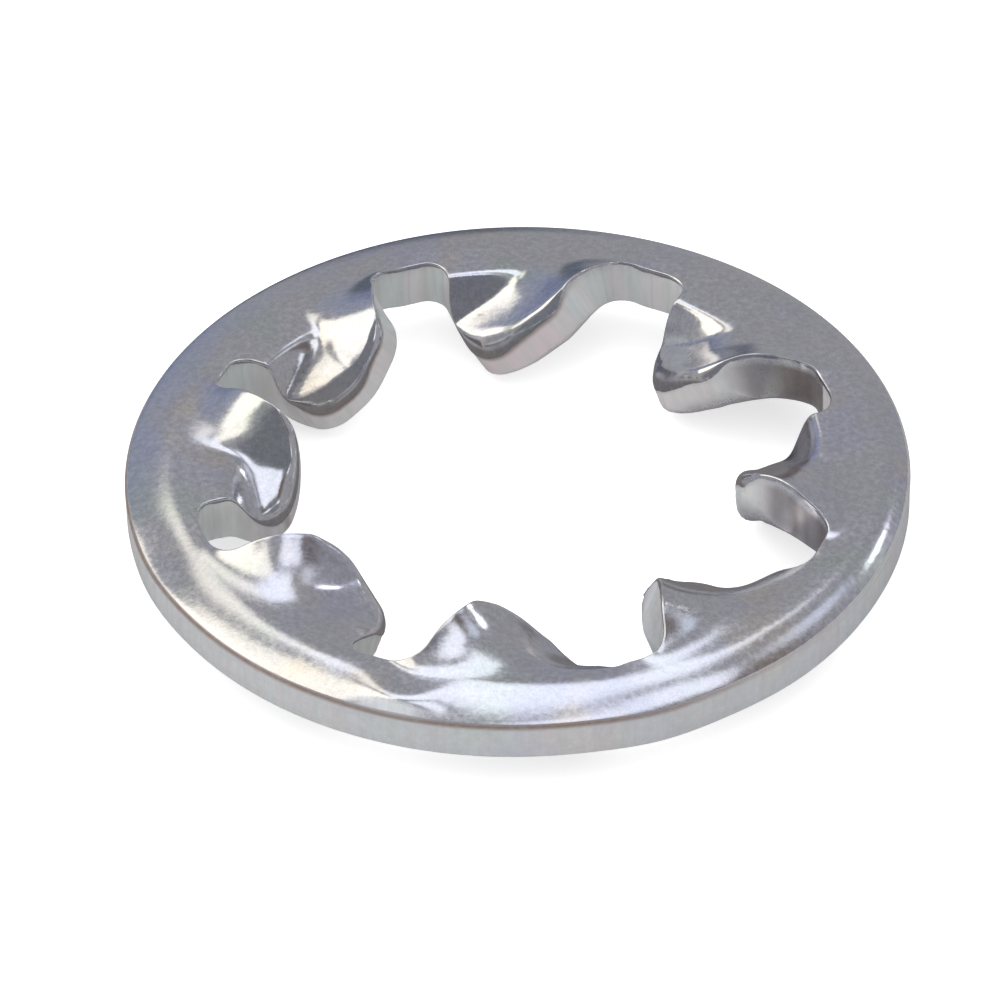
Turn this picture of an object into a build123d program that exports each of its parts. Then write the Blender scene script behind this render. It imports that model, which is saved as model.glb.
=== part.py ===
from build123d import *
import os
from math import atan2, cos, degrees, hypot, radians, sin, sqrt

# Internal-tooth lock washer for an M6 screw: one stamping of spring steel strip.
# A plain ring carries eight teeth that point inward. Each tooth is twisted about its own
# radial axis, so that its clockwise edge (seen from above) stands over the top face and its
# counter-clockwise edge hangs under the bottom face.
# Millimetres, +Z along the screw axis, origin on that axis at the level of the lowest tooth
# corners, which is the surface the washer lies on.

os.makedirs("parts", exist_ok=True)

# ---- driving dimensions ------------------------------------------------------------------
outer_dia = 11.0            # over the ring
strip = 0.72                # thickness of the strip
teeth = 8
rollover = 0.32             # die roll on the top outer edge
burr_round = 0.05           # small round on the bottom outer edge

root_radius = 4.65          # floor of the gaps between the teeth
root_fillet = 0.30          # corner between a gap floor and a tooth flank
flank_root_half = 1.30      # half width of a tooth where its flanks meet the root circle
tip_radius = 3.11           # tooth tips, from the screw axis
flank_tip_half = 0.70       # half width that the flanks aim for at the tip
tip_crown = 1.70            # radius of the slightly crowned tooth end
tip_fillet = 0.28           # corner between a flank and the tooth end

twist_rise = 33.0           # degrees, raised half of a tooth at its tip
twist_drop = 42.5           # degrees, lowered half of a tooth at its tip
rise_from, rise_to = 4.92, 3.06     # radii between which the raised half comes up
drop_from, drop_to = 4.44, 3.56     # the lowered half turns down over a shorter length
blend_half = 0.34           # half width of the band where the two halves run together
tooth_sink = 0.19           # the tooth's middle line ends this far under the strip's middle
window_in, window_out = 12.8, 22.4  # degrees from the tooth's axis: the ring beyond stays flat

formed_radius = 4.92        # outside this radius the ring is flat
half_pitch = 180.0 / teeth
outline_points = 97         # points along one pitch of the inner edge
rows = 14                   # rows from the inner edge to formed_radius


# ---- plan outline of one tooth pitch, flat, before the teeth are twisted ------------------
flank_root = (sqrt(root_radius**2 - flank_root_half**2), flank_root_half)
flank_tip = (tip_radius, flank_tip_half)
crown_centre = tip_radius + tip_crown
# where the flank meets the crowned end
dx, dy = flank_tip[0] - flank_root[0], flank_tip[1] - flank_root[1]
fx, fy = flank_root[0] - crown_centre, flank_root[1]
qa, qb, qc = dx * dx + dy * dy, 2 * (fx * dx + fy * dy), fx * fx + fy * fy - tip_crown**2
q = (-qb + sqrt(qb * qb - 4 * qa * qc)) / (2 * qa)
flank_end = (flank_root[0] + dx * q, flank_root[1] + dy * q)
gap_middle = (root_radius * cos(radians(half_pitch)), root_radius * sin(radians(half_pitch)))

with BuildLine() as tooth_edge:
    floor = RadiusArc(gap_middle, flank_root, root_radius)
    flank = Line(flank_root, flank_end)
    end = RadiusArc(flank_end, (tip_radius, 0), tip_crown)
    corners = tooth_edge.vertices().sort_by_distance(flank_root)
    fillet(corners[0], root_fillet)
    corners = tooth_edge.vertices().sort_by_distance(flank_end)
    fillet(corners[0], tip_fillet)

half_edge = tooth_edge.wire()
if (half_edge @ 0 - Vector(*gap_middle)).length > 1e-6:
    half_points = [half_edge @ (1 - i / (outline_points // 2)) for i in range(outline_points // 2 + 1)]
else:
    half_points = [half_edge @ (i / (outline_points // 2)) for i in range(outline_points // 2 + 1)]
# clockwise gap middle -> tooth tip -> counter-clockwise gap middle
inner_edge = [(p.X, -p.Y) for p in half_points] + [(p.X, p.Y) for p in reversed(half_points[:-1])]


# ---- forming: the twist of a tooth about its radial axis ------------------------------------
def ease(x):
    x = min(max(x, 0.0), 1.0)
    return x**3 * (10 - 15 * x + 6 * x * x)


def formed(x, y, z):
    """Where a point of the flat strip goes; the tooth's axis is +X, the strip's middle z = 0."""
    radius, angle = hypot(x, y), abs(degrees(atan2(y, x)))
    raised = ease(0.5 - y / (2 * blend_half))
    window = 1 - ease((angle - window_in) / (window_out - window_in))
    rise = ease((rise_from - radius) / (rise_from - rise_to))
    drop = ease((drop_from - radius) / (drop_from - drop_to))
    twist = (rise * raised + drop * (1 - raised)) * window
    twist = radians(twist * (twist_rise * raised + twist_drop * (1 - raised)))
    sink = tooth_sink * window * ease((rise_from - radius) / (rise_from - tip_radius))
    return Vector(x, y * cos(twist) + z * sin(twist), -y * sin(twist) + z * cos(twist) - sink)


def pitch_rows(z):
    """Rows of points over one pitch, from the inner edge out to formed_radius."""
    lengths = [0.0]
    for (x0, y0), (x1, y1) in zip(inner_edge, inner_edge[1:]):
        lengths.append(lengths[-1] + hypot(x1 - x0, y1 - y0))
    share = [s / lengths[-1] for s in lengths]
    result = []
    for j in range(rows):
        t = j / (rows - 1)
        row = []
        for (x, y), s in zip(inner_edge, share):
            angle = atan2(y, x) * (1 - t) + radians(half_pitch * (2 * s - 1)) * t
            radius = hypot(x, y) * (1 - t) + formed_radius * t
            row.append(formed(radius * cos(angle), radius * sin(angle), z))
        result.append(row)
    return result, share


def sheet(z):
    """One formed face of the strip over one pitch, lofted through its rows."""
    points, share = pitch_rows(z)
    curves = [Edge.make_spline(row, parameters=share) for row in points]
    return Shell.make_loft([Wire([c]) for c in curves]).faces()[0]


top_sheet, bottom_sheet = sheet(strip / 2), sheet(-strip / 2)


def inner_curve(face):
    return face.edges().sort_by(SortBy.LENGTH)[-1]


def outer_curve(face):
    return face.edges().sort_by(SortBy.LENGTH)[-2]


# the sheared wall along the teeth and gaps stays square to the strip, so it turns with it
sheared_wall = Face.make_surface_from_curves(inner_curve(top_sheet), inner_curve(bottom_sheet))

# ---- flat outer ring -------------------------------------------------------------------------
with BuildPart() as ring:
    with BuildSketch(Plane.XZ) as ring_section:
        with BuildLine() as ring_profile:
            outer_radius = outer_dia / 2
            Line((formed_radius, -strip / 2), (outer_radius - burr_round, -strip / 2))
            RadiusArc((outer_radius - burr_round, -strip / 2), (outer_radius, -strip / 2 + burr_round), -burr_round)
            Line((outer_radius, -strip / 2 + burr_round), (outer_radius, strip / 2 - rollover))
            RadiusArc((outer_radius, strip / 2 - rollover), (outer_radius - rollover, strip / 2), -rollover)
            Line((outer_radius - rollover, strip / 2), (formed_radius, strip / 2))
            Line((formed_radius, strip / 2), (formed_radius, -strip / 2))
        make_face()
    revolve(axis=Axis.Z)

ring_flats = ring.faces().filter_by(GeomType.PLANE).sort_by(Axis.Z)
rim_faces = [
    f for f in ring.faces()
    if f.geom_type != GeomType.PLANE and f.bounding_box().max.X > formed_radius + 0.01
]

# ---- the washer: flat ring, rim and eight formed pitches joined edge to edge -----------------
pitch_angles = [360.0 / teeth * i for i in range(teeth)]
formed_faces = [
    f.rotate(Axis.Z, a) for a in pitch_angles for f in (top_sheet, bottom_sheet, sheared_wall)
]
top_flat = Face(
    ring_flats[-1].outer_wire(), [Wire([outer_curve(top_sheet).rotate(Axis.Z, a) for a in pitch_angles])]
)
bottom_flat = Face(
    ring_flats[0].outer_wire(), [Wire([outer_curve(bottom_sheet).rotate(Axis.Z, a) for a in pitch_angles])]
)
stamping = Solid(Shell(formed_faces + rim_faces + [top_flat, bottom_flat]))
lowest = stamping.bounding_box().min.Z

with BuildPart() as lock_washer:
    add(stamping.moved(Location((0, 0, -lowest))))

lock_washer.part.label = "lock_washer"
export_step(lock_washer.part, "parts/lock_washer.step")

box = lock_washer.part.bounding_box()
print("valid", lock_washer.part.is_valid, "solids", len(lock_washer.part.solids()))
print("volume mm3", round(lock_washer.part.volume, 3), "overall", box)
print("bottom flat at z", round(-lowest - strip / 2, 4), "top flat at z", round(-lowest + strip / 2, 4))
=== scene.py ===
import bpy, math
import numpy as np
from mathutils import Matrix, Vector


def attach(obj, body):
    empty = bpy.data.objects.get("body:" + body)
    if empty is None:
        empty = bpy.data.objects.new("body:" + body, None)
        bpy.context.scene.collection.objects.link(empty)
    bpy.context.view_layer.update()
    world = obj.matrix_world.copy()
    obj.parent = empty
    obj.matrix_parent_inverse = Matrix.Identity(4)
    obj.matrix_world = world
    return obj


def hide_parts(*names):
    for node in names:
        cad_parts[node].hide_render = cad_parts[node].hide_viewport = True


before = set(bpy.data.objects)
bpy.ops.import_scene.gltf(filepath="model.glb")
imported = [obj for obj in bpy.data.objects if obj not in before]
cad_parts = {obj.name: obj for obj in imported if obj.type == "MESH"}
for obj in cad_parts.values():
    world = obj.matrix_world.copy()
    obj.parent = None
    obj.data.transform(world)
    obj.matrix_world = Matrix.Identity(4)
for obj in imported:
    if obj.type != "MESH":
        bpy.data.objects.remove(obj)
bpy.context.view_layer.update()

# ---------------------------------------------------------------------------------------------
# Dimensions, in millimetres. Heights are from the strip's middle plane until the mesh is
# finished; MIDDLE is that plane's height over the lowest tooth corners, as in the CAD model.
# ---------------------------------------------------------------------------------------------
OUTER_R = 5.5
STRIP = 0.7217
TEETH = 8
MIDDLE = 1.0137
ROOT_R, ROOT_FILLET, FLANK_ROOT = 4.6104, 0.298, 1.2775
TIP_R, FLANK_TIP, TIP_CROWN, TIP_FILLET = 3.067, 0.7529, 2.3018, 0.5752
RISE, DROP = 35.8459, 35.8604          # twist of the raised and of the lowered half, degrees
RISE_FROM, RISE_TO = 4.9939, 3.1644
DROP_FROM, DROP_TO = 4.2871, 3.7532
BLEND = 0.365
SINK, SINK_FROM = 0.1875, 4.40
WINDOW_IN, WINDOW_OUT = 16.5, 22.5
ROLL_W, ROLL_H = 0.60, 0.22        # die roll on the top outer edge, width and depth

# the sheared inner edge: a roll at the top, a burnished band, then the torn wall, which leans back
TOP_ROLL = 0.026                  # at the gaps; at the tooth ends it is much larger
TIP_ROLL_UP, TIP_ROLL_DOWN = 0.1059, 0.2279      # on the raised and the lowered corner
BOTTOM_ROLL = 0.03
LEAN = 0.01                      # how far the torn wall leans back at its foot

COLS = 148          # columns of quads over one tooth pitch
ROWS_TOP, ROWS_BOTTOM = 23, 10

# each tooth came off the die a little different
#          tooth: 0      1      2      3      4      5      6      7
D_RISE = [0.244, -4.083, -0.371, 1.932, 1.661, -1.197, 2.17, 3.387]
D_DROP = [2.167, -7.404, -5.032, -10.079, -11.196, -15.0, 6.042, -2.2]
D_FROM = [0.021, -0.085, -0.01, -0.098, -0.115, 0.62, 0.62, 0.62]
D_TO = [0.05, -0.012, 0.043, -0.026, -0.213, -0.52, -0.45, -0.45]
D_REACH = [-0.016, -0.046, 0.007, 0.031, 0.003, -0.043, 0.036, -0.056]
D_HIGH = [-0.055, -0.036, 0.025, 0.054, 0.07, 0.0, -0.001, -0.161]
D_TURN = [-1.285, -1.382, 0.275, 1.162, -1.488, 0.874, 0.785, -0.552]
HEEL = [0.409, 0.354, 0.151, 0.091, 0.053, 0.06, 0.15, 0.383]    # bottom edge of each tooth end
SOFT = [1.0, 1.0, 0.9, 1.0, 1.0, 1.0, 1.0, 2.5]    # how round the top edge of each tooth end is
CREASE = [0.25, 0.15, 0.8, 1.0, 0.5, 0.4, 0.5, 0.0]    # how dark the line between burnished and torn metal is
SMEARED = [0.8, 0.8, 0.1, 0.1, 0.0, 0.0, 0.1, 0.5]      # how far the raised flank's wall is burnished
LATE = [0.0, 0.0, 0.0, 0.0, 0.0, 0.0, 5.5, 0.0]      # degrees by which the ring beside the raised flank stays flat
END_SMEARED = [0.0, 0.0, 0.0, 0.0, 0.45, 0.0, 0.3, 0.6]  # and the wall of the tooth's end


def ease(x):
    x = np.clip(x, 0.0, 1.0)
    return x**3 * (10 - 15 * x + 6 * x * x)


def arc(centre, radius, start, end, n):
    a0 = math.atan2(start[1] - centre[1], start[0] - centre[0])
    a1 = math.atan2(end[1] - centre[1], end[0] - centre[0])
    if a1 - a0 > math.pi:
        a1 -= 2 * math.pi
    if a0 - a1 > math.pi:
        a1 += 2 * math.pi
    a = np.linspace(a0, a1, n)
    return np.c_[centre[0] + radius * np.cos(a), centre[1] + radius * np.sin(a)]


def half_outline(tip_r, corner, crown):
    """The flat blank's inner edge from the middle of a gap to a tooth's middle, finely divided."""
    half = math.pi / TEETH
    p1 = np.array([math.sqrt(ROOT_R**2 - FLANK_ROOT**2), FLANK_ROOT])
    p2 = np.array([tip_r, FLANK_TIP])
    d = (p2 - p1) / np.linalg.norm(p2 - p1)
    n = np.array([-d[1], d[0]])
    if n[1] < 0:
        n = -n
    # corner between the gap floor and the flank
    b = p1 + n * ROOT_FILLET
    bb, cc = b @ d, b @ b - (ROOT_R - ROOT_FILLET) ** 2
    q = math.sqrt(bb * bb - cc)
    c = max((b + d * (-bb + q), b + d * (-bb - q)), key=lambda v: v[0])
    line0, floor0 = c - n * ROOT_FILLET, c / np.linalg.norm(c) * ROOT_R
    # corner between the flank and the crowned tooth end
    o = np.array([tip_r + crown, 0.0])
    base = p1 - n * corner
    b = base - o
    bb, cc = b @ d, b @ b - (crown - corner) ** 2
    q = math.sqrt(max(bb * bb - cc, 0))
    c2 = min((base + d * (-bb + q), base + d * (-bb - q)), key=lambda v: v[0])
    line1 = c2 + n * corner
    end0 = o + (c2 - o) / np.linalg.norm(c2 - o) * crown
    a = np.linspace(half, math.atan2(floor0[1], floor0[0]), 60)
    parts = [
        np.c_[ROOT_R * np.cos(a), ROOT_R * np.sin(a)],
        arc(c, ROOT_FILLET, floor0, line0, 80),
        line0 + (line1 - line0) * np.linspace(0, 1, 120)[:, None],
        arc(c2, corner, line1, end0, 80),
        arc(o, crown, end0, (tip_r, 0.0), 60),
    ]
    return np.vstack([parts[0]] + [p[1:] for p in parts[1:]])


def resample(pts, n):
    s = np.r_[0, np.cumsum(np.linalg.norm(np.diff(pts, axis=0), axis=1))]
    u = np.linspace(0, s[-1], n)
    return np.c_[np.interp(u, s, pts[:, 0]), np.interp(u, s, pts[:, 1])]


def inner_edge(tooth):
    half = half_outline(TIP_R + D_REACH[tooth], TIP_FILLET, TIP_CROWN)
    full = np.vstack([half * [1, -1], half[::-1][1:]])
    return resample(full, COLS + 1)


def edge_normals(pts):
    """Unit normals in the plane, pointing into the metal, at the points of an open edge."""
    t = np.gradient(pts, axis=0)
    # the edge carries on into the next pitch as an arc about the screw axis
    for k in (0, -1):
        t[k] = np.array([-pts[k][1], pts[k][0]])
    t /= np.linalg.norm(t, axis=1)[:, None]
    return np.c_[t[:, 1], -t[:, 0]]


def plan_grid(inner, rows, outer_r, rounds=300):
    """Grid in plan between the inner edge and a circle, smoothed so that its cells are even."""
    n = len(inner)
    s = np.linspace(0, 1, n)
    half = math.pi / TEETH
    ang_i, rad_i = np.arctan2(inner[:, 1], inner[:, 0]), np.hypot(inner[:, 0], inner[:, 1])
    out = half * (2 * s - 1)
    t = np.linspace(0, 1, rows)[:, None]
    ang, rad = ang_i * (1 - t) + out * t, rad_i * (1 - t) + outer_r * t
    x, y = rad * np.cos(ang), rad * np.sin(ang)
    for _ in range(rounds):
        xu, yu = (x[1:-1, 2:] - x[1:-1, :-2]) / 2, (y[1:-1, 2:] - y[1:-1, :-2]) / 2
        xv, yv = (x[2:, 1:-1] - x[:-2, 1:-1]) / 2, (y[2:, 1:-1] - y[:-2, 1:-1]) / 2
        al, be, ga = xv**2 + yv**2, xu * xv + yu * yv, xu**2 + yu**2
        for g in (x, y):
            cross = (g[2:, 2:] - g[2:, :-2] - g[:-2, 2:] + g[:-2, :-2]) / 4
            new = (al * (g[1:-1, 2:] + g[1:-1, :-2]) + ga * (g[2:, 1:-1] + g[:-2, 1:-1])
                   - 2 * be * cross) / (2 * (al + ga) + 1e-12)
            g[1:-1, 1:-1] += 0.9 * (new - g[1:-1, 1:-1])
    return x, y


def formed(x, y, z, tooth):
    """The forming of one tooth: a point of the flat strip, tooth axis +X, to its place."""
    radius, angle = np.hypot(x, y), np.abs(np.degrees(np.arctan2(y, x)))
    raised = ease(0.5 - y / (2 * BLEND))
    late = LATE[tooth] * ease((radius - 4.40) / 0.6) * (y < 0)
    window = 1 - ease((angle + late - WINDOW_IN) / (WINDOW_OUT - WINDOW_IN))
    rise = ease((RISE_FROM - radius) / (RISE_FROM - RISE_TO))
    drop_from = DROP_FROM + D_FROM[tooth]
    drop = ease((drop_from - radius) / (drop_from - DROP_TO - D_TO[tooth]))
    twist = (rise * raised + drop * (1 - raised)) * window
    twist = np.radians(twist * ((RISE + D_RISE[tooth]) * raised + (DROP + D_DROP[tooth]) * (1 - raised)))
    sink = (SINK - D_HIGH[tooth]) * window * ease((SINK_FROM - radius) / (SINK_FROM - TIP_R))
    y2 = y * np.cos(twist) + z * np.sin(twist)
    z2 = -y * np.sin(twist) + z * np.cos(twist) - sink
    turn = np.radians(D_TURN[tooth]) * ease((5.2 - radius) / 0.8) * (1 - ease((angle - 15.0) / 7.5))
    return x * np.cos(turn) - y2 * np.sin(turn), x * np.sin(turn) + y2 * np.cos(turn), z2


def edge_profile(px, py, tooth):
    """Roll at the top edge and heel at the bottom edge along the inner outline."""
    r = np.hypot(px, py)
    tip = ease((3.95 - r) / 0.75)
    nose = ease((3.60 - r) / 0.40)
    up = ease(0.5 - py / 1.0)
    roll = TOP_ROLL + nose * SOFT[tooth] * TIP_ROLL_UP * up + tip * TIP_ROLL_DOWN * (1 - up)
    heel = BOTTOM_ROLL + tip * HEEL[tooth] * (0.4 + 0.6 * up)
    return roll, heel, tip


# ---- small irregularities: all seeded, all in millimetres --------------------------------------
chance = np.random.default_rng(8)
WAVES = []                     # long, shallow waves of the sheet
for _ in range(26):
    length, way = chance.uniform(0.5, 1.7), chance.uniform(0, 2 * math.pi)
    WAVES.append((2 * math.pi / length * math.cos(way), 2 * math.pi / length * math.sin(way), chance.uniform(0, 6.28), length**1.3))


def waviness(x, y, tooth):
    """Height of the sheet's waves at a place of the flat strip: faint on the ring, more on a tooth."""
    a = 2 * math.pi * tooth / TEETH
    wx, wy = x * math.cos(a) - y * math.sin(a), x * math.sin(a) + y * math.cos(a)
    r = np.hypot(x, y)
    total = sum(w * np.sin(kx * wx + ky * wy + ph) for kx, ky, ph, w in WAVES)
    return total * (0.00022 + 0.0007 * ease((4.75 - r) / 0.7)) * ease((5.3 - r) / 0.3)


def ragged(length, step, seed, linear=True):
    """A random line over an edge of the given arc lengths, straight between knots or smooth."""
    g = np.random.default_rng(seed)
    total = length[-1]
    knots = [0.0]
    while knots[-1] < total:
        knots.append(knots[-1] + step * g.uniform(0.5, 1.6))
    knots = np.array(knots) * total / knots[-1]
    v = g.uniform(-1, 1, len(knots))
    v[0] = v[-1] = 0.0
    if linear:
        return np.interp(length, knots, v)
    k = np.clip(np.searchsorted(knots, length) - 1, 0, len(knots) - 2)
    t = (length - knots[k]) / (knots[k + 1] - knots[k])
    t = t * t * (3 - 2 * t)
    return v[k] * (1 - t) + v[k + 1] * t


# shallow places where the punch pressed a tooth, none listed: tooth, x, y, size x, size y, turn, depth
PRESSED = []


def pressed(x, y, tooth):
    z = np.zeros_like(x)
    for k, px, py, sx, sy, turn, amount in PRESSED:
        if k != tooth:
            continue
        c, s = math.cos(math.radians(turn)), math.sin(math.radians(turn))
        u, v = ((x - px) * c + (y - py) * s) / sx, (-(x - px) * s + (y - py) * c) / sy
        z += amount * np.exp(-(u * u + v * v))
    return z


# the ring isn't quite flat: its outer part hangs a little at these places (degrees round, mm, width)
HANG = [(203, 0.060, 9), (293, 0.050, 8), (318, 0.030, 14)]


def round_angle(x, y, tooth):
    return np.degrees(np.arctan2(y, x)) + 360.0 * tooth / TEETH


def bump_at(angle, centre, width):
    d = (angle - centre + 180.0) % 360.0 - 180.0
    return np.exp(-((d / width) ** 2))


def ring_form(x, y, tooth):
    r, angle = np.hypot(x, y), round_angle(x, y, tooth)
    hang = sum(amount * bump_at(angle, centre, width) for centre, amount, width in HANG)
    return -hang * np.clip((r - 4.55) / 0.95, 0, 1) ** 1.3


def die_roll(x, y, tooth):
    """Depth of the die roll: a long gentle fall that ends in a small round at the outer wall."""
    r, angle = np.hypot(x, y), round_angle(x, y, tooth)
    plain = bump_at(angle, 254.5, 5.0)      # here the sheet stays flat almost to the wall
    width = ROLL_W * (1 + 0.25 * bump_at(angle, 273.0, 14.0) - 0.35 * bump_at(angle, 10.0, 62.0) - 0.5 * plain)
    t = np.clip((r - (OUTER_R - 0.05 - width)) / width, 0, 1)
    power = 1.4 + 0.8 * bump_at(angle, 10.0, 75.0) + 3.0 * plain
    return (ROLL_H - 0.07) * (1 - 0.15 * plain) * t**power


def build_loop(tooth):
    """Closed loops round the strip's section for the columns of one pitch."""
    edge = inner_edge(tooth)
    nrm = edge_normals(edge)
    h = STRIP / 2
    half = math.pi / TEETH
    s = np.linspace(0, 1, len(edge))
    out_ang = half * (2 * s - 1)
    length = np.r_[0, np.cumsum(np.linalg.norm(np.diff(edge, axis=0), axis=1))]
    roll, heel, tip = edge_profile(edge[:, 0], edge[:, 1], tooth)
    roll = roll * (1 + 0.10 * tip * ragged(length, 0.35, 100 + tooth, False))
    burnish = 0.012 + 0.014 * (1 + ragged(length, 0.16, 200 + tooth, False))
    step = 0.002 + 0.013 * tip * CREASE[tooth]
    dark = CREASE[tooth] * (0.12 + 0.88 * tip)
    smeared = np.maximum(SMEARED[tooth] * ease((0.25 - edge[:, 1]) / 0.5) * (1 - 0.85 * tip), END_SMEARED[tooth] * tip)
    # painted shade: on teeth 0 and 1 the burnished walls are darkened in colour to stand in for the dark reflections
    # they show; on tooth 4 the painted shade lies in patchy streaks
    painted_wall_shade = smeared * (0.70 + 0.25 * ragged(length, 0.13, 700 + tooth)) * (tooth in (0, 1))
    if tooth == 4:
        painted_wall_shade = 1.4 * smeared * np.maximum(ragged(length, 0.10, 700), 0.0)
    facet = (0.006 + 0.008 * (1 - tip)) * ragged(length, 0.30, 300 + tooth)
    facet += 0.003 * ragged(length, 0.10, 400 + tooth)
    lumps = 0.010 * tip
    xs, ys, zs, kind, foot, where = [], [], [], [], [], []

    def add(px, py, pz, wall=0.0, mark=0.0, down=0.0, along=None):
        pz = np.broadcast_to(pz, px.shape).astype(float)
        bend = waviness(px, py, tooth) + pressed(px, py, tooth) + ring_form(px, py, tooth)
        xs.append(px)
        ys.append(py)
        zs.append(pz + bend)
        kind.append(np.broadcast_to(wall, px.shape).astype(float))
        foot.append(np.broadcast_to(mark, px.shape).astype(float))
        along_ = length if along is None else along
        where.append(np.stack([along_, np.broadcast_to(down, px.shape), np.full(px.shape, float(tooth))], -1))

    def wall(inset, depth, **kw):
        add(edge[:, 0] + nrm[:, 0] * inset, edge[:, 1] + nrm[:, 1] * inset, h - depth, down=depth, **kw)

    # rolled top inner edge, from the wall up on to the sheet
    for th in np.linspace(0, 90, 7)[:-1]:
        c, sn = math.cos(math.radians(th)), math.sin(math.radians(th))
        wall(roll * (1 - c) + lumps * ragged(length, 0.22, 500 + tooth, False) * c * (1 - c) * 4, 1.2 * roll * (1 - sn), mark=0.3 + 0.7 * sn * c * 2)
    start = edge + nrm * roll[:, None]
    ring_1 = 4.80
    gx, gy = plan_grid(start, ROWS_TOP, ring_1)
    for j in range(ROWS_TOP):
        add(gx[j], gy[j], h)
    cosine, sine = np.cos(out_ang), np.sin(out_ang)
    world = out_ang + 2 * half * tooth
    rim_len = OUTER_R * world
    for r in ring_1 + (OUTER_R - 0.05 - ring_1) * np.linspace(0, 1, 10)[1:] ** 0.9:
        add(r * cosine, r * sine, h - die_roll(r * cosine, r * sine, tooth), along=rim_len,
            wall=0.75 * bump_at(np.degrees(world), 254.5, 5.0) * (r > 5.36))
    # the small round where the die roll ends, and the outer wall with its striations
    # a dark brown line round the outer wall just below the small round, strongest toward 235 degrees
    rim_line_strength = 0.35 + 0.65 * ease((bump_at(np.degrees(world), 235.0, 62.0)) * 1.6)
    rim_drop = die_roll((OUTER_R - 0.05) * cosine, (OUTER_R - 0.05) * sine, tooth)
    for th in (40, 58, 76, 90):
        a, a0 = math.radians(th), math.radians(30)
        r = OUTER_R - 0.05 + 0.05 * (math.sin(a) - math.sin(a0)) / (1 - math.sin(a0))
        z = h - rim_drop - (ROLL_H - rim_drop) * (math.cos(a0) - math.cos(a)) / math.cos(a0)
        add(r * cosine, r * sine, z, wall=0.7 if th > 50 else 0.3, mark=-rim_line_strength * np.exp(-(((h - z) - 0.180) / 0.036) ** 2), down=h - z, along=rim_len)
    for depth, shade in ((0.035, 0.0), (0.09, 0.0), (0.2, 0.0)):
        z = h - ROLL_H - depth
        add((OUTER_R - 0.004) * cosine, (OUTER_R - 0.004) * sine, z, wall=0.6, mark=shade * rim_line_strength, down=h - z, along=rim_len)
    for th in (0, 45, 90):
        a = math.radians(th)
        r, z = OUTER_R - 0.054 + 0.05 * math.cos(a), -h + 0.05 - 0.05 * math.sin(a)
        add(r * cosine, r * sine, z, wall=0.6 if th < 60 else 0.0, mark=0.4 if th == 45 else 0.0, down=h - z, along=rim_len)
    add(5.2 * cosine, 5.2 * sine, -h, along=rim_len)
    inset = LEAN + facet * 0.4
    start = edge + nrm * (heel + inset)[:, None]
    gx, gy = plan_grid(start, ROWS_BOTTOM, 5.0)
    for j in range(ROWS_BOTTOM - 1, -1, -1):
        add(gx[j], gy[j], -h)
    # bottom round of the inner edge; its mark also carries the painted shade of the walls
    for th in (67, 45, 22, 0):
        c, sn = math.cos(math.radians(th)), math.sin(math.radians(th))
        wall(inset + heel * (1 - c), 2 * h - heel + heel * sn, wall=(0.9 * (1 - sn) + 0.1) * (1 - smeared), mark=0.4 * sn - 0.7 * painted_wall_shade)
    # torn wall up to the dark line at the step, then the burnished band; the torn rows also carry the painted shade of
    # the walls
    top = 1.2 * roll + burnish
    foot_z = 2 * h - heel
    for t in np.linspace(1, 0, 7)[1:-1]:
        rough = 0.004 * ragged(length, 0.09, 600 + tooth * 8 + int(t * 7))
        wall(step * (1 - t) + inset * t + facet * (1 - t) * 0.8 + rough, top + 0.03 + (foot_z - top - 0.03) * t, wall=1.0 - smeared, mark=-painted_wall_shade)
    wall(step + facet * 0.5, top + 0.022, wall=1.0 - smeared, mark=-0.8 * dark)
    wall(step * 0.25, top + 0.006, wall=0.6 * (1 - smeared), mark=-1.0 * dark)
    wall(0 * step, top - 0.008, wall=0.0, mark=0.25)
    wall(0 * step + 0.3 * lumps * ragged(length, 0.22, 500 + tooth, False), 1.2 * roll + 0.4 * burnish, wall=0.0, mark=0.3)
    return tuple(np.array(v) for v in (xs, ys, zs, kind, foot, where))


def build_washer():
    cols, marks = [], []
    for tooth in range(TEETH):
        x, y, z, kind, foot, where = build_loop(tooth)
        x, y, z = formed(x, y, z, tooth)
        a = 2 * math.pi * tooth / TEETH
        cols.append(np.stack([x * math.cos(a) - y * math.sin(a), x * math.sin(a) + y * math.cos(a), z], -1)[:, :-1])
        marks.append(np.concatenate([kind[..., None], foot[..., None], where], -1)[:, :-1])
    return np.concatenate(cols, axis=1), np.concatenate(marks, axis=1)


grid, marks = build_washer()                     # loop point, column, xyz
loops, columns = grid.shape[:2]
verts = grid.transpose(1, 0, 2).reshape(-1, 3)   # column by column
marks = marks.transpose(1, 0, 2).reshape(-1, 5)
i = np.arange(columns)[:, None]
j = np.arange(loops)[None, :]
i2, j2 = (i + 1) % columns, (j + 1) % loops
quads = np.stack([i * loops + j, i2 * loops + j, i2 * loops + j2, i * loops + j2], -1).reshape(-1, 4)
verts_m = (verts + np.array([0, 0, MIDDLE])) * 0.001

mesh = bpy.data.meshes.new("washer_body")
mesh.from_pydata(verts_m.tolist(), [], quads.tolist())
mesh.update()
washer = bpy.data.objects.new("washer_body", mesh)
bpy.context.scene.collection.objects.link(washer)
mesh.polygons.foreach_set("use_smooth", [True] * len(mesh.polygons))
for name, column in (("torn", 0), ("mark", 1)):
    mesh.attributes.new(name, "FLOAT", "POINT").data.foreach_set("value", marks[:, column].astype(np.float32))
place = mesh.attributes.new("along", "FLOAT_VECTOR", "POINT")
place.data.foreach_set("vector", marks[:, 2:5].astype(np.float32).ravel())

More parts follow.
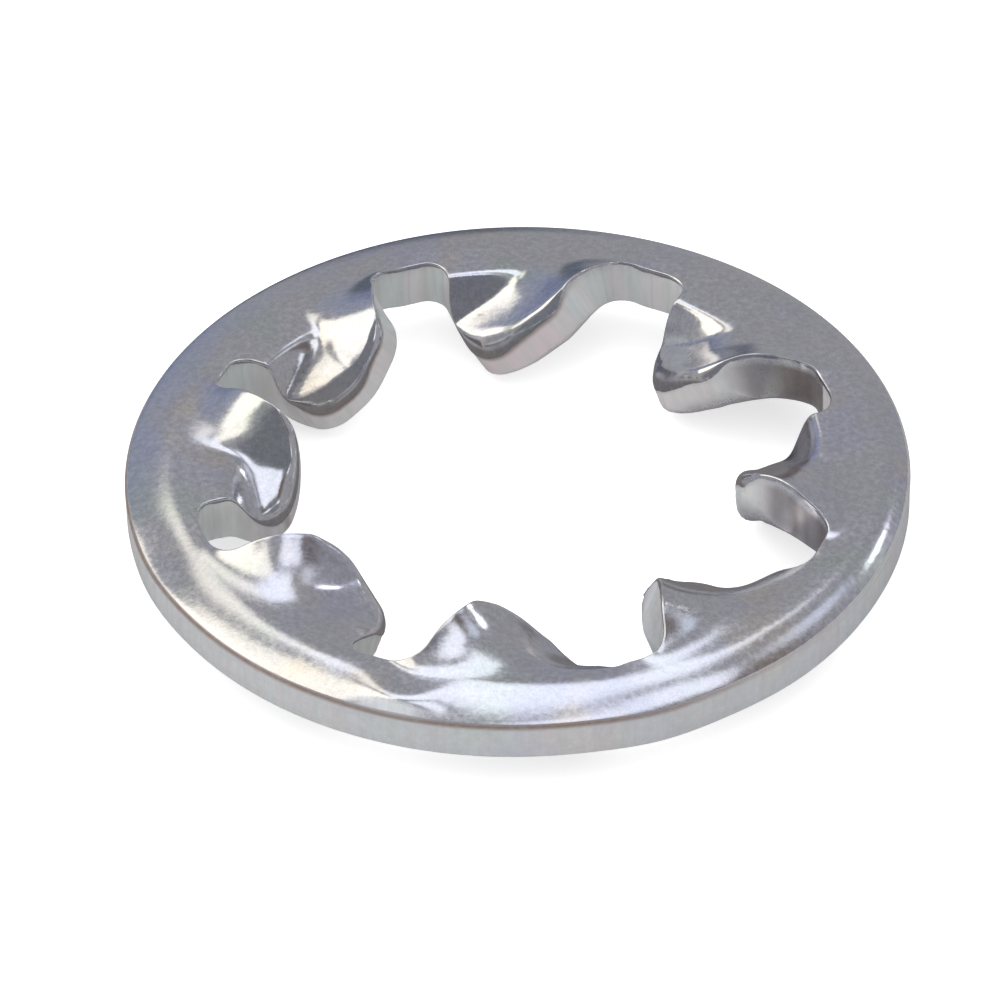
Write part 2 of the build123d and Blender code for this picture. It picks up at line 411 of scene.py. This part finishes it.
tri_a, tri_b, tri_c, tri_d = (verts[quads[:, k]] for k in range(4))
vol = np.einsum("ij,ij->i", tri_a, np.cross(tri_b, tri_c)).sum() + np.einsum("ij,ij->i", tri_a, np.cross(tri_c, tri_d)).sum()
if vol < 0:
    mesh.flip_normals()
print("washer volume mm3", abs(vol) / 6, "quads", len(quads), "low", verts[:, 2].min() + MIDDLE, "high", verts[:, 2].max() + MIDDLE)
tooth_of = (np.arange(len(verts)) // loops) // COLS
print("lowest per tooth", [round(float(verts[tooth_of == t, 2].min() + MIDDLE), 3) for t in range(TEETH)])

# ---------------------------------------------------------------------------------------------
# Material: zinc-plated spring steel, all from nodes. "torn" is 1 on the sheared wall, 0 on the
# plated sheet; "mark" is above 0 along worn edges and below 0 in creases, in a dark line round
# the outer wall and as painted shade on some tooth walls; "along" runs along the edge and down
# the wall, in millimetres.
# ---------------------------------------------------------------------------------------------
mat = bpy.data.materials.new("zinc_plated_steel")
mat.use_nodes = True
nt = mat.node_tree
bsdf = nt.nodes["Principled BSDF"]


def node(kind, **inputs):
    n = nt.nodes.new(kind)
    for k, v in inputs.items():
        put(n, k, v)
    return n


def put(n, socket, value):
    s = n.inputs[socket]
    if isinstance(value, bpy.types.NodeSocket):
        nt.links.new(value, s)
    else:
        s.default_value = value


def num(op, a, b=None, c=None, clamp=False):
    n = nt.nodes.new("ShaderNodeMath")
    n.operation = op
    n.use_clamp = clamp
    for k, v in enumerate((a, b, c)):
        if v is not None:
            put(n, k, v)
    return n.outputs[0]


def ramp(value, lo, hi, out_lo=0.0, out_hi=1.0):
    n = nt.nodes.new("ShaderNodeMapRange")
    n.interpolation_type = "SMOOTHSTEP"
    put(n, "Value", value)
    put(n, "From Min", lo)
    put(n, "From Max", hi)
    put(n, "To Min", out_lo)
    put(n, "To Max", out_hi)
    return n.outputs["Result"]


def blend(factor, a, b, mode="MIX"):
    n = nt.nodes.new("ShaderNodeMix")
    n.data_type = "RGBA"
    n.blend_type = mode
    put(n, "Factor", factor)
    for name, v in (("A", a), ("B", b)):
        s = [q for q in n.inputs if q.name == name and q.type == "RGBA"][0]
        if isinstance(v, bpy.types.NodeSocket):
            nt.links.new(v, s)
        else:
            s.default_value = (*v, 1)
    return [q for q in n.outputs if q.type == "RGBA"][0]


def noise(vector, scale, detail=3.0, rough=0.5, seed=(0, 0, 0)):
    shift = node("ShaderNodeVectorMath")
    shift.operation = "ADD"
    put(shift, 0, vector)
    shift.inputs[1].default_value = seed
    n = nt.nodes.new("ShaderNodeTexNoise")
    put(n, "Vector", shift.outputs[0])
    put(n, "Scale", scale)
    put(n, "Detail", detail)
    put(n, "Roughness", rough)
    return n.outputs["Fac"]


def attribute(name, out):
    n = nt.nodes.new("ShaderNodeAttribute")
    n.attribute_name = name
    return n.outputs[out]


place = nt.nodes.new("ShaderNodeVectorMath")
place.operation = "SCALE"
put(place, 0, nt.nodes.new("ShaderNodeTexCoord").outputs["Object"])
place.inputs["Scale"].default_value = 1000.0
mm = place.outputs[0]

torn = attribute("torn", "Fac")
mark = attribute("mark", "Fac")
edge_run = nt.nodes.new("ShaderNodeMapping")
put(edge_run, "Vector", attribute("along", "Vector"))
edge_run.inputs["Scale"].default_value = (1.0, 0.10, 1.0)
along = edge_run.outputs[0]

# colour of the plated sheet: cool grey with faint blue, tan and green clouds and fine speckle
cloud = noise(mm, 0.55, 2.0, 0.5)
cloud2 = noise(mm, 0.8, 2.0, 0.5, (7.0, 3.0, 1.0))
speck = noise(mm, 11.0, 3.0, 0.65, (2.0, 9.0, 4.0))
speck2 = noise(mm, 26.0, 2.0, 0.6, (5.0, 1.0, 8.0))
zinc = blend(ramp(cloud, 0.42, 0.68), (0.735, 0.735, 0.775), (0.690, 0.700, 0.800))
zinc = blend(ramp(cloud2, 0.52, 0.72, 0, 0.8), zinc, (0.790, 0.745, 0.705))
zinc = blend(ramp(cloud2, 0.46, 0.30, 0, 0.7), zinc, (0.690, 0.745, 0.730))
grain = ramp(speck, 0.30, 0.72, 0.90, 1.07)
grain = num("MULTIPLY", grain, ramp(speck2, 0.25, 0.75, 0.95, 1.05))
grey = node("ShaderNodeCombineColor")
for k in range(3):
    put(grey, k, grain)
zinc = blend(1.0, zinc, grey.outputs[0], "MULTIPLY")

# the torn wall: darker, matt, pinkish and greenish, striped across the edge
stripe = noise(along, 9.0, 3.0, 0.6)
stripe2 = noise(along, 2.6, 2.0, 0.5, (3.0, 5.0, 0.0))
raw = blend(ramp(stripe2, 0.38, 0.62), (0.445, 0.480, 0.478), (0.468, 0.450, 0.458))
ends = nt.nodes.new("ShaderNodeSeparateXYZ")
put(ends, "Vector", attribute("along", "Vector"))
rosy = num("MULTIPLY", ramp(ends.outputs["Z"], 0.5, 1.5), ramp(ends.outputs["Z"], 3.5, 2.5))
rosy = num("MULTIPLY", rosy, ramp(num("ABSOLUTE", num("SUBTRACT", ends.outputs["X"], 2.9)), 1.5, 0.7))
raw = blend(rosy, raw, (0.435, 0.375, 0.392))
raw = blend(ramp(stripe, 0.30, 0.74, 0, 0.6), raw, (0.33, 0.35, 0.335))
colour = blend(num("MULTIPLY", torn, 1.0, clamp=True), zinc, raw)

# dark creases, a dark brown line round the outer wall and painted shade on some tooth walls; worn edges
dark_lines_and_painted_shade = num("MULTIPLY", mark, -1.0, clamp=True)
worn = num("MAXIMUM", mark, 0.0)
worn = num("MULTIPLY", worn, ramp(noise(mm, 4.0, 3.0, 0.6, (1.0, 1.0, 6.0)), 0.35, 0.6))
# dark brown for the creases and the rim line, and as painted shade on the darkened tooth walls
colour = blend(num("MULTIPLY", dark_lines_and_painted_shade, ramp(speck, 0.2, 0.6, 0.75, 0.95)), colour, (0.150, 0.095, 0.075))
colour = blend(num("MULTIPLY", worn, 0.55, clamp=True), colour, (0.90, 0.89, 0.87))
put(bsdf, "Base Color", colour)
put(bsdf, "Metallic", num("SUBTRACT", 1.0, num("MULTIPLY", torn, 0.75)))

gloss = ramp(speck, 0.30, 0.75, 0.115, 0.175)
gloss = num("ADD", gloss, ramp(cloud, 0.35, 0.70, 0.0, 0.05))
rough = num("ADD", gloss, num("MULTIPLY", torn, 0.36))
rough = num("ADD", rough, num("MULTIPLY", dark_lines_and_painted_shade, 0.15))
put(bsdf, "Roughness", num("SUBTRACT", rough, num("MULTIPLY", worn, 0.03)))

# relief: orange peel on the sheet, striations on the torn wall
peel = num("MULTIPLY", noise(mm, 9.0, 3.0, 0.55, (4.0, 4.0, 2.0)), 1.0)
peel = num("ADD", num("MULTIPLY", peel, num("SUBTRACT", 1.0, torn)), num("MULTIPLY", stripe, torn))
bump = nt.nodes.new("ShaderNodeBump")
put(bump, "Height", peel)
bump.inputs["Strength"].default_value = 1.0
bump.inputs["Distance"].default_value = 0.0000014
put(bsdf, "Normal", bump.outputs[0])
mesh.materials.append(mat)

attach(washer, "root")
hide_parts("lock_washer")

# ---------------------------------------------------------------------------------------------
# Floor, light and camera
# ---------------------------------------------------------------------------------------------
floor_mesh = bpy.data.meshes.new("floor")
floor_mesh.from_pydata([(-0.3, -0.3, 0), (0.3, -0.3, 0), (0.3, 0.3, 0), (-0.3, 0.3, 0)], [], [(0, 1, 2, 3)])
floor = bpy.data.objects.new("floor", floor_mesh)
bpy.context.scene.collection.objects.link(floor)
fmat = bpy.data.materials.new("floor_paint")
fmat.use_nodes = True
fb = fmat.node_tree.nodes["Principled BSDF"]
fb.inputs["Base Color"].default_value = (0.55, 0.55, 0.55, 1)
fb.inputs["Emission Color"].default_value = (1.0, 1.0, 1.0, 1)
fb.inputs["Emission Strength"].default_value = 0.62      # a light table, so that shadows stay faint
fb.inputs["Roughness"].default_value = 0.9
floor_mesh.materials.append(fmat)
floor.visible_glossy = False

# a broad soft lamp that only lights the floor up to white
sun_data = bpy.data.lights.new("soft_fill", "SUN")
sun_data.energy = 5.0
sun_data.angle = math.radians(150)
sun = bpy.data.objects.new("soft_fill", sun_data)
sun.rotation_euler = (math.radians(12), math.radians(-14), 0)
sun.visible_glossy = False
bpy.context.scene.collection.objects.link(sun)

EL, TURN, ROLL = math.radians(39.72), math.radians(2.90), math.radians(1.04)


def toward(zenith, azimuth):
    """Unit vector: degrees from straight up, and degrees round from the camera's right hand."""
    z, a = math.radians(zenith), math.radians(azimuth) + TURN
    return Vector((math.sin(z) * math.cos(a), math.sin(z) * math.sin(a), math.cos(z)))


world = bpy.data.worlds.new("studio")
bpy.context.scene.world = world
world.use_nodes = True
wt = world.node_tree
wt.nodes.clear()
w_out = wt.nodes.new("ShaderNodeOutputWorld")
w_bg = wt.nodes.new("ShaderNodeBackground")
w_dir = wt.nodes.new("ShaderNodeTexCoord").outputs["Generated"]
wt.links.new(w_bg.outputs[0], w_out.inputs[0])


def w_math(op, a, b=None, c=None):
    n = wt.nodes.new("ShaderNodeMath")
    n.operation = op
    for k, v in enumerate((a, b, c)):
        if v is None:
            continue
        if isinstance(v, (int, float)):
            n.inputs[k].default_value = v
        else:
            wt.links.new(v, n.inputs[k])
    return n.outputs[0]


def w_dot(vec):
    n = wt.nodes.new("ShaderNodeVectorMath")
    n.operation = "DOT_PRODUCT"
    wt.links.new(w_dir, n.inputs[0])
    n.inputs[1].default_value = vec
    return n.outputs["Value"]


def w_step(value, lo, hi):
    n = wt.nodes.new("ShaderNodeMapRange")
    n.interpolation_type = "SMOOTHSTEP"
    wt.links.new(value, n.inputs["Value"])
    n.inputs["From Min"].default_value, n.inputs["From Max"].default_value = lo, hi
    return n.outputs["Result"]


def w_over(colour, factor, new_colour, amount=1.0):
    n = wt.nodes.new("ShaderNodeMix")
    n.data_type = "RGBA"
    n.clamp_result = False
    wt.links.new(w_math("MULTIPLY", factor, amount), n.inputs["Factor"])
    if isinstance(colour, tuple):
        n.inputs["A"].default_value = (*colour, 1)
    else:
        wt.links.new(colour, n.inputs["A"])
    n.inputs["B"].default_value = (*new_colour, 1)
    return [o for o in n.outputs if o.type == "RGBA"][0]


def round_patch(zenith, azimuth, radius, soft):
    """A round light or dark patch of the studio, seen from the washer; sizes in degrees."""
    v = toward(zenith, azimuth)
    return w_step(w_dot(v), math.cos(math.radians(radius + soft / 2)), math.cos(math.radians(max(radius - soft / 2, 0.01))))


def square_patch(zenith, azimuth, width, height, soft, spin=0.0):
    """A four-sided patch: width and height in degrees, spin turns it in its own plane."""
    v = toward(zenith, azimuth)
    side = Vector((0, 0, 1)).cross(v)
    side = side.normalized() if side.length > 1e-3 else Vector((1, 0, 0))
    upw = v.cross(side)
    c, s_ = math.cos(math.radians(spin)), math.sin(math.radians(spin))
    side, upw = side * c + upw * s_, upw * c - side * s_
    front = w_math("MAXIMUM", w_dot(v), 0.02)
    f = w_step(w_dot(v), 0.0, 0.05)
    for axis, size in ((side, width), (upw, height)):
        q = w_math("ABSOLUTE", w_math("DIVIDE", w_dot(axis), front))
        outer, inner = math.tan(math.radians(size / 2 + soft / 2)), math.tan(math.radians(max(size / 2 - soft / 2, 0)))
        f = w_math("MULTIPLY", f, w_math("SUBTRACT", 1.0, w_step(q, inner, outer)))
    return f


sky = (0.352, 0.352, 0.366)
sky = w_over(sky, round_patch(76, 125, 20, 18), (0.33, 0.355, 0.43))
sky = w_over(sky, round_patch(88, 122, 13, 14), (0.22, 0.25, 0.37))
sky = w_over(sky, square_patch(98, 110, 44, 20, 10), (0.12, 0.14, 0.18))
sky = w_over(sky, round_patch(62, -90, 56, 10), (0.20, 0.205, 0.225))
sky = w_over(sky, round_patch(180, 0, 72, 12), (0.19, 0.18, 0.18))
sky = w_over(sky, square_patch(28, 90, 24, 22, 5), (1.28, 1.32, 1.40))
sky = w_over(sky, round_patch(43, 111, 6, 8), (1.24, 1.19, 1.06))
sky = w_over(sky, square_patch(31, 146, 22, 28, 5), (1.46, 1.40, 1.22))
sky = w_over(sky, square_patch(49, 160, 36, 32, 5), (1.62, 1.54, 1.34))
sky = w_over(sky, round_patch(33, 2, 10, 8), (0.19, 0.16, 0.15))
sky = w_over(sky, round_patch(37, 33, 5.5, 5), (0.80, 0.85, 0.96))
sky = w_over(sky, round_patch(8, 25, 9, 4), (1.26, 1.29, 1.38))
sky = w_over(sky, round_patch(19, 14, 7, 4), (1.26, 1.29, 1.38))
sky = w_over(sky, round_patch(46, -24, 5, 4), (1.20, 1.24, 1.35))
sky = w_over(sky, round_patch(54.5, 39, 3.0, 1.6), (5.0, 5.1, 5.3))
wt.links.new(sky, w_bg.inputs["Color"])
w_bg.inputs["Strength"].default_value = 1.0

# the camera looks at the middle of the strip, on the screw axis
DIST = 5.5 / 0.0593 * 0.001
FOCAL_PX = 392.25 / 0.0593
back = Vector((math.cos(EL) * math.sin(TURN), -math.cos(EL) * math.cos(TURN), math.sin(EL)))
right0 = Vector((math.cos(TURN), math.sin(TURN), 0))
up0 = back.cross(right0)
right = right0 * math.cos(ROLL) - up0 * math.sin(ROLL)
up = right0 * math.sin(ROLL) + up0 * math.cos(ROLL)
cam_data = bpy.data.cameras.new("camera")
cam = bpy.data.objects.new("camera", cam_data)
bpy.context.scene.collection.objects.link(cam)
cam_data.sensor_width = 36.0
cam_data.lens = 36.0 * FOCAL_PX / 1000
cam_data.shift_x = -(517.06 + 0.5 - 500) / 1000
cam_data.shift_y = (475.54 + 0.5 - 500) / 1000
cam_data.clip_start, cam_data.clip_end = 0.001, 10
rot = Matrix((right, up, back)).transposed()
cam.matrix_world = Matrix.Translation(Vector((0, 0, MIDDLE * 0.001)) + back * DIST) @ rot.to_4x4()
bpy.context.scene.camera = cam
bpy.context.scene.view_settings.view_transform = "Standard"
